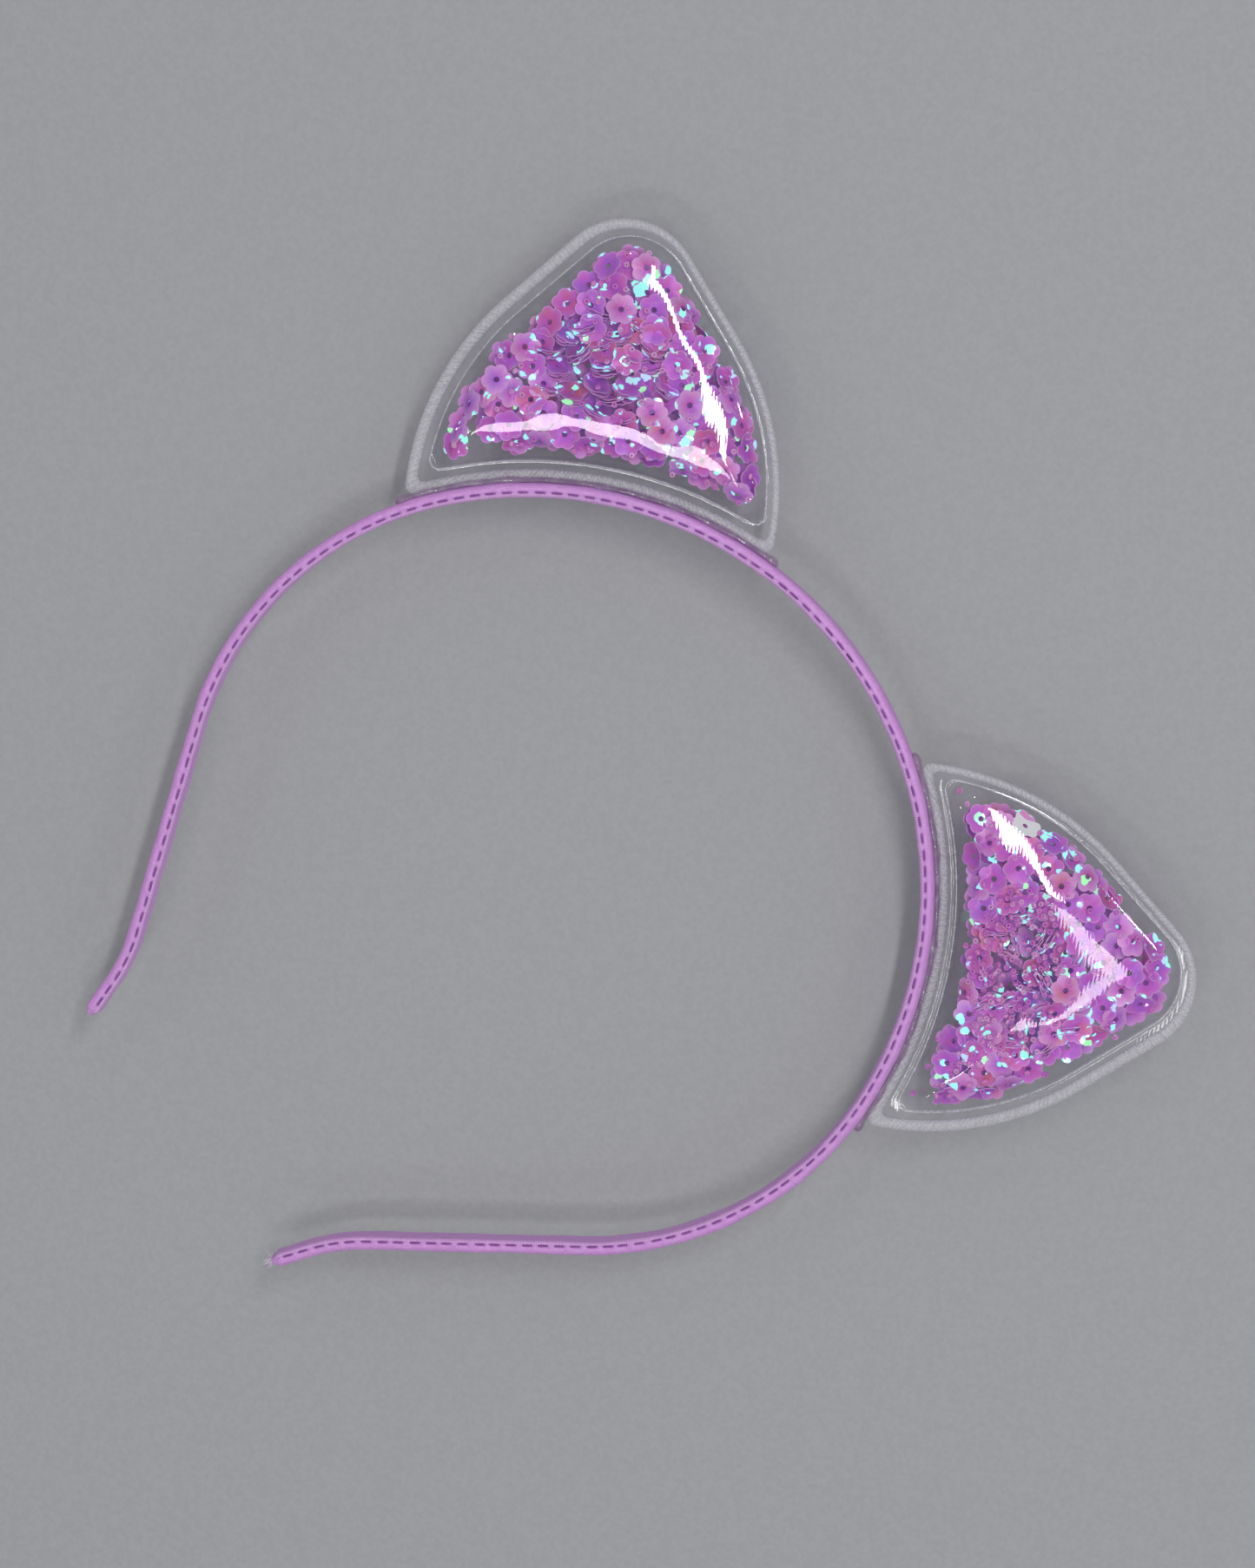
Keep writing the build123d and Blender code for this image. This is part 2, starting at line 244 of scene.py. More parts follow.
def sleeve_skin(stations, spots):
    """The sleeve's outside: satin drawn in along the stitched seam, with gathers beside it."""
    base, out, _ = section(BAND_W, BAND_T, BAND_ROUND, spots)
    s, across = stations[:, None], (np.asarray(spots) * ROUND_LENGTH - SEAM_AT)[None, :]
    number = np.round(s / STITCH_PITCH).astype(int)
    middle = np.vectorize(stitch_middle)(number)
    inside = 1 - smooth(np.abs(s - middle), STITCH_LENGTH / 2 - 0.25, STITCH_LENGTH / 2 + 0.2)
    groove = np.exp(-((across / 0.19) ** 2)) * (0.13 + 0.15 * inside)
    near = np.exp(-np.abs(across) / 0.8)
    puffs = 0.11 * near * (1 - inside)
    fold = 0.07 * smooth(across, 0.1, 0.3) * (1 - smooth(across, 0.75, 1.05))
    gathers = 0.022 * near * rolling(s + 0.6 * across, across, GATHER_FIELD)
    sag = 0.05 * rolling(s, across * 1.5, SAG_FIELD)
    height = puffs + fold + gathers + sag - groove
    points = base[None] + height[..., None] * out[None]
    # Third detail channel: how much painted shade the satin gets in the seam's groove, most at the stitches.
    closeness = np.exp(-((across / 0.24) ** 2)) * (0.45 + 0.55 * inside)
    detail = np.stack([s + 0 * across, across + 0 * s, closeness * (0.4 + 0.6 * inside)], -1)
    return placed(stations, points), detail


def sleeve(name, way, low, high, material):
    """One length of the sleeve: its skin, the cavity round the spring strip, and both cut ends."""
    stations = way * np.linspace(low, high, int((high - low) / 0.26))
    skin, detail = sleeve_skin(stations, SPOTS)
    hollow, _, _ = section(CAVITY_W, CAVITY_T, CAVITY_ROUND, SPOTS)
    lining = placed(stations, np.broadcast_to(hollow, (len(stations), *hollow.shape)))
    rows, columns = len(stations), len(SPOTS)
    outside = grid_faces(rows, columns)
    inside = outside[:, ::-1] + rows * columns
    ring = np.arange(columns)
    after = (ring + 1) % columns
    first = np.stack([ring, ring + rows * columns, after + rows * columns, after], 1)
    last = first[:, ::-1] + (rows - 1) * columns
    soup = Soup()
    points = np.concatenate([skin.reshape(-1, 3), lining.reshape(-1, 3)])
    values = np.concatenate([detail.reshape(-1, 3)] * 2)
    soup.add(points, [outside, inside, first, last], values)
    return soup.piece(name, material, way)


def stitch_row(name, way, low, high, material):
    """Running stitches lying in the seam: each thread rises from the satin and dives back into it."""
    soup = Soup()
    for number in range(math.ceil(low / STITCH_PITCH), math.ceil(high / STITCH_PITCH)):
        middle = stitch_middle(way * number)
        share = np.linspace(-1, 1, 11)
        stations = middle + share * (STITCH_LENGTH / 2 + 0.12)
        swing = STITCH_TURN[way * number + len(STITCH_TURN) // 2]
        rise = 0.17 - 0.36 * np.abs(share) ** 3.5
        path = []
        for s, lift, bend in zip(stations, rise, swing * share):
            spot = (SEAM_AT + bend + 0.3 * swing) / ROUND_LENGTH
            base, out, _ = section(BAND_W, BAND_T, BAND_ROUND, [spot])
            path.append(placed([s], (base + (lift - 0.26) * out)[None])[0, 0])
        radii = 0.12 + 0.012 * np.sin(share * 9 + number)
        tube(soup, path, radii, values=[[middle, 0.0, number % 7 / 7]])
    return soup.piece(name, material)


def sealed_end(name, way, material, fibres):
    """The ribbon's end, pinched flat and melted, with loose fibres."""
    soup = Soup()
    field = waves(8, 0.5, 2.2)
    spots = np.linspace(0, 1, 40, endpoint=False)
    steps = (-1.0, -0.1, 0.02, 0.25, 0.55, 0.9, 1.15, 1.32)
    widths = (4.1, 4.1, 4.85, 4.7, 4.3, 3.8, 3.3, 2.6)
    heights = (1.1, 1.1, 2.15, 1.95, 1.5, 1.05, 0.8, 0.5)
    rings, details = [], []
    for step, width, height in zip(steps, widths, heights):
        base, out, length = section(width, height, height * 0.42, spots)
        crumple = 0.13 * rolling(np.full(len(spots), step * 2), spots * length, field) * (step > 0)
        shift = 0.12 * math.sin(3 * step + way) * max(step, 0)
        points = base + crumple[:, None] * out + [0, shift]
        rings.append(placed([way * (BAND_END + step)], points[None])[0])
        details.append(np.stack([spots * 0 + step, spots * length, spots * 0], 1))
    rows, columns = len(rings), len(spots)
    hubs = [ring.mean(0) for ring in (rings[0], rings[-1])]
    faces = [
        grid_faces(rows, columns),
        fan_faces(0, columns, rows * columns, True),
        fan_faces((rows - 1) * columns, columns, rows * columns + 1),
    ]
    soup.add(np.concatenate([*rings, hubs]), faces, np.concatenate([*details, np.zeros((2, 3))]))
    piece = soup.piece(name, material, way)
    fuzz = Soup()
    x, z, turn = along(way * (BAND_END + 0.9))
    ahead = way * np.array([math.cos(turn), 0, -math.sin(turn)])
    out = np.array([math.sin(turn), 0, math.cos(turn)])
    for _ in range(fibres):
        root = np.array([x, 0, z]) + out * rng.uniform(-0.45, 0.45) + [0, rng.uniform(-1.5, 1.5), 0]
        aim = ahead + 0.55 * rng.normal(size=3)
        curl = 0.5 * rng.normal(size=3)
        share = np.linspace(0, 1, 8)[:, None]
        length = rng.uniform(0.4, 1.3)
        path = root + share * length * aim + share**2 * length * curl
        tube(fuzz, path, 0.05 * (1 - 0.6 * share[:, 0]), sides=5, aside=out, values=[[0, 0, 1]])
    return piece, fuzz


# ---- the ears -----------------------------------------------------------------------------------------
def wall_distances(x, z):
    """(distance from the foot, distance from the nearer side), inwards from the ear's outer edge."""
    x = np.abs(x)
    turn = np.arctan2(z - SHOULDER_Z, x - SIDE_X)
    bulge = SIDE_R - np.hypot(x - SIDE_X, z - SHOULDER_Z)
    tip = TIP_R - np.hypot(x, z - TIP_Z)
    crest = 4 * smooth(TIP_Z - z, 0, 9) * (1 - smooth(x, 0, 9))
    straight = TIP_R - (np.hypot(x, crest) * math.cos(EAR_LEAN) + (z - TIP_Z) * math.sin(EAR_LEAN))
    past = np.arctan2(z - TIP_Z, x) > EAR_LEAN
    side = np.where(turn < EAR_LEAN, bulge, np.where(past, tip, straight))
    return np.hypot(x, z) - EAR_FOOT_R, side


def depth(x, z, foot_inset, side_inset, rounding):
    """How far a point lies inside the drawn-in outline, whose corners are rounded."""
    foot, side = wall_distances(x, z)
    foot, side = foot - foot_inset, side - side_inset
    corner = np.hypot(np.maximum(rounding - foot, 0), np.maximum(rounding - side, 0))
    return np.maximum(np.minimum(foot, side), rounding) - corner


def pouch_depth(x, z, rounding=2.4):
    return depth(x, z, WELD_FOOT, WELD_SIDE, rounding)


def ear_loop(foot_inset, side_inset, rounding, turn, count=300):
    """(x, z) points round the ear's outline, drawn in from its outer edge and turned about the crown's centre."""
    bearing = np.linspace(0, math.tau, count, endpoint=False)
    near, far = np.zeros(count), np.full(count, 50.0)
    for _ in range(36):
        reach = (near + far) / 2
        x, z = reach * np.cos(bearing), EAR_MIDDLE + reach * np.sin(bearing)
        inside = depth(x, z, foot_inset, side_inset, rounding) > 0
        near, far = np.where(inside, reach, near), np.where(inside, far, reach)
    return turned(np.stack([x, z], 1), turn)


def turned(points, degrees):
    c, s = math.cos(math.radians(degrees)), math.sin(math.radians(degrees))
    x, z = points[..., 0], points[..., 1]
    return np.stack([x * c + z * s, z * c - x * s], -1)


def ear_placed(points, way, turn=0.0):
    """Points of an upright ear, as (x, y, z), carried to their place on the right or left side."""
    flat = turned(points[..., [0, 2]], EAR_ANGLE + turn)
    return np.stack([way * flat[..., 0], points[..., 1], flat[..., 1]], -1)


def dome_height(x, z):
    """Height of the moulded film over the mid plane, in the pouch's own frame."""
    inward = np.clip(pouch_depth(x, z, 6.0) + 0.6, 0, DOME_SPAN) / DOME_SPAN
    edge = smooth(pouch_depth(x, z), 0.0, 0.5)
    rise = (1 - (1 - inward) ** DOME_POWER) ** (1 / DOME_POWER)
    return FLANGE_T + (DOME_H - FLANGE_T) * rise * edge


def film(name, way, face, material, field):
    """One moulded film: flange, weld ridge and dome as a thin closed shell. face is -1 at the front."""
    flange = ear_loop(RIM_W, RIM_W, 1.4, BEAD_TURN)
    weld = ear_loop(WELD_FOOT, WELD_SIDE, 2.4, 0)
    shares = np.concatenate([1 - 0.02 * np.arange(12), np.linspace(0.77, 0.03, 44)])
    hub = np.array([0, EAR_MIDDLE])
    skin, lining = [], []
    for share in np.linspace(0, 1, 5)[:-1]:
        loop = turned(flange, -WELD_TURN) * (1 - share) + weld * share
        ridge = 0.1 * math.exp(-(((share - 0.75) / 0.2) ** 2))
        skin.append((loop, np.full(len(loop), FLANGE_T + ridge)))
        lining.append((loop, np.full(len(loop), 0.04)))
    for share in [*shares, 0.0]:
        loop = hub + (weld - hub) * share
        height = dome_height(*loop.T)
        inward = pouch_depth(*loop.T)
        settle = smooth(inward, 0.5, 6.0)
        height = height + 0.055 * settle * rolling(*loop.T, field) - 0.05 * settle
        skin.append((loop, height))
        lining.append((loop, np.maximum(height - FILM_WALL, 0.04)))
    layers = [
        ear_placed(np.stack([loop[:, 0], face * height, loop[:, 1]], 1), way, WELD_TURN)
        for loop, height in skin + lining[::-1]
    ]
    rows, columns = len(layers), len(weld)
    layers = np.array(layers)
    soup = Soup()
    around = grid_faces(rows, columns)[:, ::face]
    closing = np.stack([np.arange(columns), (np.arange(columns) + 1) % columns], 1)
    edge = np.concatenate([closing[:, ::-1], closing + (rows - 1) * columns], 1)[:, ::-face]
    soup.add(layers, [around, edge])
    made = soup.piece(name, material, way)
    made.data.validate()
    return made


def weld_bead(name, way, material, field):
    """The frosted bead where both films melt together, and the raised weld line inside it."""
    soup = Soup()
    turn = np.linspace(0, math.tau, 18, endpoint=False)
    loops = []
    for angle in turn:
        across = (1 - math.cos(angle)) / 2
        inset = across * RIM_W
        squareness = math.copysign(abs(math.sin(angle)) ** 0.7, math.sin(angle))
        loop = ear_loop(inset, inset, 2.0 - across * 0.6, BEAD_TURN * across, 420)
        lumps = 1 + 0.03 * rolling(loop[:, 0] * 1.0, loop[:, 1] + angle, field)
        loops.append(np.stack([loop[:, 0], squareness * lumps * RIM_T / 2, loop[:, 1]], 1))
    points = ear_placed(np.stack(loops), way)
    columns = points.shape[1]
    count = np.arange(columns)
    detail = np.zeros((len(turn), columns, 3))
    detail[..., 0] = count
    detail[..., 1] = turn[:, None]
    wrapped = grid_faces(len(turn) + 1, columns) % (len(turn) * columns)
    soup.add(points, [wrapped], detail.reshape(-1, 3))
    for face in (-1, 1):
        loop = ear_loop(WELD_FOOT - 0.1, WELD_SIDE - 0.1, 2.4, 0, 900)
        beat = 0.07 + 0.05 * rolling(np.arange(900) * 0.7, np.zeros(900), field)
        path = np.stack([loop[:, 0], np.full(900, face * (FLANGE_T + 0.08)), loop[:, 1]], 1)
        path = ear_placed(path, way, WELD_TURN)
        ring(soup, path, np.abs(beat) + 0.03, values=[[0, 0, 1]])
    return soup.piece(name, material, way)


def ring(soup, path, radii, sides=6, values=None):
    """A closed round tube along a loop that lies flat in the ear's plane."""
    ahead = np.roll(path, -1, 0) - np.roll(path, 1, 0)
    across = np.cross(ahead, (0, 1, 0))
    across /= np.linalg.norm(across, axis=1)[:, None]
    turn = np.linspace(0, math.tau, sides, endpoint=False)[:, None, None]
    around = np.cos(turn) * across[None] + np.sin(turn) * np.array([0.0, 1.0, 0.0])
    points = path[None] + radii[None, :, None] * around
    faces = grid_faces(sides + 1, len(path)) % (sides * len(path))
    soup.add(points, [faces], values)


def glue(name, way, material, field):
    """Clear glue squeezed out between the band and the ear's foot, ending in small blobs."""
    reach = np.radians(np.linspace(-28.3, 28.3, 260))
    arc = reach * GLUE_R
    swell = 1 + 0.18 * rolling(arc, arc * 0, field)
    end = np.clip((np.abs(np.degrees(reach)) - 26.2) / 2.1, 0, 1)
    taper = np.sqrt(np.clip(1 - end**4, 0.02, 1)) * (1 + 0.3 * smooth(end, 0, 0.4))
    turn = np.linspace(0, math.tau, 20, endpoint=False)
    rings = []
    for n, angle in enumerate(reach):
        lift = GLUE_R + 0.62 * swell[n] * taper[n] * np.cos(turn)
        y = 1.75 * swell[n] ** 0.5 * taper[n] * np.sin(turn) + 0.1 * np.sin(3 * turn + arc[n])
        rings.append(np.stack([lift * math.sin(angle), y, lift * math.cos(angle)], 1))
    points = np.concatenate(rings)
    hubs = [rings[0].mean(0), rings[-1].mean(0)]
    rows, columns = len(reach), len(turn)
    faces = [
        grid_faces(rows, columns)[:, ::-1],
        fan_faces(0, columns, rows * columns),
        fan_faces((rows - 1) * columns, columns, rows * columns + 1, True),
    ]
    soup = Soup()
    soup.add(ear_placed(np.concatenate([points, hubs]), way), faces)
    return soup.piece(name, material, way)


# ---- the loose filling --------------------------------------------------------------------------------
def head_room(points):
    """Half the pouch's inner height at these (x, y, z) points, at its least over the filling's travel."""
    x, z = points[..., 0], points[..., 2]
    return np.min([dome_height(x, z + move) - 0.28 for move in TRAVEL], axis=0) - FILM_WALL


def flower(bends):
    """One sequin, its petals bent up by these slopes, as (points, faces, edge closeness)."""
    columns = 6 * PETALS
    turn = np.linspace(0, math.tau, columns, endpoint=False)
    reach, petal_r = 0.565 * FLOWER_R, 0.435 * FLOWER_R
    swing = (turn + math.pi / PETALS) % (math.tau / PETALS) - math.pi / PETALS
    edge = reach * np.cos(swing) + np.sqrt(petal_r**2 - (reach * np.sin(swing)) ** 2)
    radii = [np.full(columns, FLOWER_HOLE_R), np.full(columns, 1.05), 0.9 * edge, edge]
    petal = ((turn + math.pi / PETALS) // (math.tau / PETALS)).astype(int) % PETALS
    bend = np.maximum(np.stack(radii) - 0.95, 0) * np.asarray(bends)[petal]
    low = np.stack([[r * np.cos(turn), r * np.sin(turn), h] for r, h in zip(radii, bend)])
    low = low.transpose(0, 2, 1)
    high = low + [0, 0, FLOWER_T]
    top, under = high, low[[3, 0]]
    points = np.concatenate([top.reshape(-1, 3), under.reshape(-1, 3)])
    ids = np.arange(6 * columns).reshape(6, columns)
    after = np.roll(ids, -1, 1)
    order = [0, 1, 2, 3, 4, 5, 0]
    faces = [np.stack([ids[a], ids[b], after[b], after[a]], 1) for a, b in zip(order, order[1:])]
    closeness = np.repeat([0.0, 0.0, 0.25, 1.0, 1.0, 0.0], columns)
    return points, [np.concatenate(faces)], closeness


FLOWERS = [flower(rng.uniform(0.02, 0.5, PETALS)) for _ in range(12)]
FLOWER_RIM = np.concatenate([flower([bend] * PETALS)[0][18 * PETALS : 24 * PETALS : 3] for bend in (0.0, 0.5)])


def facing(normal, spin):
    """A rotation that carries +z to normal, spun about it."""
    normal = np.asarray(normal, float) / np.linalg.norm(normal)
    aside = np.cross(normal, (0.31, 0.17, 0.93))
    aside /= np.linalg.norm(aside)
    over = np.cross(normal, aside)
    c, s = math.cos(spin), math.sin(spin)
    return np.stack([c * aside + s * over, c * over - s * aside, normal], 1)


def scattered(spacing, tries, accept):
    """Random (x, z) places in the pouch that keep this far from each other."""
    kept = np.empty((0, 2))
    offered = rng.uniform((-29, 62), (29, 106), (tries, 2))
    inner = pouch_depth(*offered.T) > 2.9
    for x, z in np.concatenate([offered[~inner], offered[inner]]):
        if accept(x, z) and (len(kept) == 0 or np.hypot(*(kept - (x, z)).T).min() > spacing):
            kept = np.append(kept, [[x, z]], 0)
    return kept


def layer_numbers(places, reach):
    """Shingles the places: neighbours closer than reach lie in different layers."""
    numbers = []
    for n, place in enumerate(places):
        near = np.hypot(*(places[:n] - place).T) < reach
        taken = {numbers[m] for m in np.flatnonzero(near)}
        numbers.append(next(k for k in range(99) if k not in taken))
    return numbers


def to_wall(place):
    """How a sequin near the pouch's edge leans with the wall: a vector towards the edge."""
    x, z = place
    step = 0.5
    slope = [pouch_depth(x + dx, z + dz) - pouch_depth(x - dx, z - dz) for dx, dz in ((step, 0), (0, step))]
    amount = 1.5 * (1 - smooth(pouch_depth(x, z), 2.0, 5.0))
    return -amount * np.array([slope[0], 0, slope[1]])


def fits(x, z):
    """Whether a sequin lying along the wall has room here."""
    if pouch_depth(x, z) < 1.9:
        return False
    rotation = facing(to_wall((x, z)) - (0, 1, 0), 0)
    return push_out(FLOWER_RIM @ rotation.T, (x, z), -1, 0.05) is not None


def push_out(outline, centre, face, gap):
    """The y that puts an outline against the film, or None where it doesn't fit."""
    points = outline + [centre[0], 0, centre[1]]
    room = head_room(points) - gap
    if room.min() < 0.7:
        return None
    return face * np.min(room - face * outline[:, 1])


class Filling:
    """The sequins and beads of one ear, in the pouch's own frame."""

    def __init__(self, way):
        self.way, self.sequins, self.beads = way, Soup(), Soup()

    def put(self, centre, rotation, kind):
        points, faces, edge = FLOWERS[rng.integers(len(FLOWERS))]
        values = np.stack([np.full(len(edge), rng.uniform(0, 1)), edge, np.full(len(edge), kind)], 1)
        self.sequins.add(ear_placed(points @ rotation.T + centre, self.way, WELD_TURN), faces, values)

    def flats(self, places, face, gap, pitch, lean, silver=None):
        """Sequins lying under a film, shingled, each leaning its own way. One of them can be silver."""
        for n, (place, number) in enumerate(zip(places, layer_numbers(places, 4.3))):
            way, spin = rng.choice([1, 1, 1, -1]), rng.uniform(0, math.tau)
            sway = lean * rng.normal(size=3) * (1, 0, 1)
            for share in (1.0, 0.4, 0.0):
                rotation = facing((to_wall(place) + share * sway + (0, face, 0)) * way, spin)
                y = push_out(FLOWER_RIM @ rotation.T, place, face, gap)
                if y is not None:
                    break
            if y is not None:
                y -= face * pitch * number
                if y * face > 0.2:
                    kind = 2.0 if n == silver else rng.uniform(0, 1)
                    self.put(np.array([place[0], y, place[1]]), rotation, kind)

    def stack(self, place, axis, count, face):
        """A nested pile of sequins seen edge on."""
        rotation = facing(axis, rng.uniform(0, math.tau))
        y = push_out(FLOWER_RIM @ rotation.T * 1.05, place, face, 0.15)
        if y is None:
            return
        pitch, tone = 0.38, rng.uniform(0, 1)
        for n in range(count):
            step = (n - (count - 1) / 2) * pitch * rotation[:, 2]
            slip = rng.normal(0, 0.13, 3)
            centre = np.array([place[0], y - face * 0.2, place[1]]) + step + slip
            rim = FLOWER_RIM @ rotation.T + centre
            if (head_room(rim) - np.abs(rim[:, 1])).min() > 0.02:
                self.put(centre, rotation @ facing((0, 0, 1), rng.uniform(0, 6)), tone)

    def bead(self, place, y):
        """A seed bead: a fat little ring."""
        turn, sides = np.linspace(0, math.tau, 10, endpoint=False), 6
        roll = np.linspace(0, math.tau, sides, endpoint=False)
        bore = BEAD_R * 0.62
        radius = bore + BEAD_R * 0.4 * np.cos(roll)[:, None]
        height = BEAD_R * 0.52 * np.sin(roll)[:, None]
        points = np.stack([radius * np.cos(turn), radius * np.sin(turn), height + 0 * turn], -1)
        rotation = facing(rng.normal(size=3) + [0, 1.2, 0], 0.0)
        points = points.reshape(-1, 3) @ rotation.T + [place[0], y, place[1]]
        faces = grid_faces(sides + 1, len(turn))[:, ::-1] % (sides * len(turn))
        self.beads.add(ear_placed(points, self.way, WELD_TURN), [faces], [[rng.uniform(0, 1), 0, 0]])

    def bead_at(self, place, face, under):
        room = head_room(np.array([[place[0], 0, place[1]]]))[0]
        if room > 0.9:
            self.bead(place, face * max(room - BEAD_R - 0.1 - under, 0))


def in_oval(x, z, middle, reach):
    return ((x - middle[0]) / reach[0]) ** 2 + ((z - middle[1]) / reach[1]) ** 2 < 1


def left_bare(x, z):
    """Where the left ear's filling has slumped away from: along its outer side."""
    return x > 3 and wall_distances(x, z)[1] < 6.2 + 0.7 * math.sin(x) - 2.4 * smooth(x, 14, 22)


def right_bare(x, z):
    """The right ear's filling has left the corner towards the top, and thins out in the far corner."""
    return (z < 74 and x < -19.5 - 0.6 * (z - 66)) or (x > 15 and z < 69)


def fill_left():
    """Flowers all round, edge-on piles in the middle, few beads."""
    made = Filling(LEFT)

    def core(x, z):
        return in_oval(x, z, (1.5, 83.5), (10.5, 8.5))

    def keep(x, z):
        return not left_bare(x, z) and fits(x, z)

    shown = scattered(2.75, 5200, lambda x, z: keep(x, z) and not core(x, z))
    made.flats(shown, -1, 0.05, 0.34, 0.17)
    made.flats(scattered(3.4, 900, lambda x, z: core(x, z) and in_oval(x, z, (-1, 88), (6, 4))), -1, 0.1, 0.4, 0.3)
    for place in scattered(2.9, 1200, core):
        axis = (0.45 * rng.normal(), -0.4 - 0.6 * rng.random(), 1)
        made.stack(place, axis, rng.integers(3, 7), -1)
    made.flats(scattered(3.5, 2600, keep), -1, 2.6, 0.4, 0.3)
    made.flats(scattered(2.75, 5200, keep), 1, 0.05, 0.34, 0.17)
    for place in scattered(1.15, 260, lambda x, z: pouch_depth(x, z) > 1.5 and not left_bare(x, z)):
        made.bead_at(place, -1, rng.uniform(0, 0.5))
    for place in scattered(1.3, 90, lambda x, z: in_oval(x, z, (-1, 92), (9, 7)) and pouch_depth(x, z) > 1.2):
        made.bead_at(place, -1, rng.uniform(0, 0.7))
    return made


def fill_right():
    """Flowers round the edge and over a drift of seed beads in the middle."""
    made = Filling(RIGHT)

    def drift(x, z):
        return in_oval(x, z, (2.5, 79.0), (11.5, 6.0))

    def keep(x, z):
        return not right_bare(x, z) and fits(x, z)

    shown = scattered(2.75, 5200, lambda x, z: keep(x, z) and not drift(x, z))
    made.flats(shown, -1, 0.05, 0.34, 0.2, np.hypot(*(shown - (-23.5, 78.1)).T).argmin())
    made.flats(scattered(4.8, 300, drift), -1, 0.45, 0.4, 0.3)
    for place in scattered(3.3, 900, lambda x, z: in_oval(x, z, (5, 84), (9, 7)) or drift(x, z)):
        axis = rng.normal(size=3) * (1, 0.4, 1)
        made.stack(place, axis, rng.integers(3, 6), -1)
    made.flats(scattered(3.5, 2600, keep), -1, 2.4, 0.4, 0.3)
    made.flats(scattered(2.75, 5200, keep), 1, 0.05, 0.34, 0.17)
    for place in scattered(0.9, 4200, lambda x, z: in_oval(x, z, (1.5, 78.0), (13.5, 7.5))):
        made.bead_at(place, -1, rng.uniform(0.0, 1.0) * rng.uniform(0, 1))
    for place in scattered(1.0, 900, lambda x, z: x > 15 and z < 76 and pouch_depth(x, z) > 1.3):
        made.bead_at(place, -1, rng.uniform(0, 1.5))
    for place in scattered(1.5, 160, lambda x, z: pouch_depth(x, z) > 1.2):
        made.bead_at(place, -1, rng.uniform(0, 0.6))
    return made


# ---- materials ----------------------------------------------------------------------------------------
class Shader:
    """A material put together from linked nodes."""

    def __init__(self, name):
        self.material = bpy.data.materials.new(name)
        self.material.use_nodes = True
        self.tree = self.material.node_tree
        self.tree.nodes.clear()

    def node(self, kind, inputs=None, out=0, **settings):
        """Adds a node, feeds its inputs with values or other nodes' outputs, and returns one output."""
        made = self.tree.nodes.new("ShaderNode" + kind)
        for key, value in settings.items():
            setattr(made, key, value)
        for key, value in (inputs or {}).items():
            if isinstance(value, bpy.types.NodeSocket):
                self.tree.links.new(value, made.inputs[key])
            else:
                made.inputs[key].default_value = value
        return made.outputs[out]

    def detail(self):
        return self.node("Attribute", out=1, attribute_name="detail")

    def part(self, vector, axis):
        return self.node("SeparateXYZ", {0: vector}, out="XYZ".index(axis))

    def noise(self, vector, scale, detail=2.0, out=0, **inputs):
        return self.node("TexNoise", {"Vector": vector, "Scale": scale, "Detail": detail, **inputs}, out)

    def place(self):
        """The position in millimetres."""
        spot = self.node("TexCoord", out=3)
        return self.node("VectorMath", {0: spot, "Scale": 1 / MM}, operation="SCALE")

    def maths(self, operation, a, b=0.0, clamp=False):
        return self.node("Math", {0: a, 1: b}, operation=operation, use_clamp=clamp)

    def spread(self, value, low, high, to_low=0.0, to_high=1.0):
        return self.node("MapRange", {0: value, 1: low, 2: high, 3: to_low, 4: to_high})

    def mix(self, share, a, b, blend="MIX"):
        return self.node("Mix", {0: share, 6: a, 7: b}, 2, data_type="RGBA", blend_type=blend)

    def ramp(self, share, *stops):
        made = self.tree.nodes.new("ShaderNodeValToRGB")
        self.tree.links.new(share, made.inputs[0])
        bar = made.color_ramp.elements
        while len(bar) < len(stops):
            bar.new(0.5)
        for element, (spot, colour) in zip(bar, stops):
            element.position, element.color = spot, colour
        return made.outputs[0]

    def bump(self, height, distance, strength=1.0, **more):
        return self.node("Bump", {"Height": height, "Distance": distance * MM, "Strength": strength, **more})

    def blend(self, share, a, b):
        return self.node("MixShader", {0: share, 1: a, 2: b})

    def done(self, surface):
        out = self.tree.nodes.new("ShaderNodeOutputMaterial")
        self.tree.links.new(surface, out.inputs[0])
        return self.material


def srgb(red, green, blue):
    """A colour as seen on screen, 0 to 255, as the linear colour that nodes take."""
    linear = [((c / 255 + 0.055) / 1.055) ** 2.4 if c > 10 else c / 255 / 12.92 for c in (red, green, blue)]
    return (*linear, 1.0)


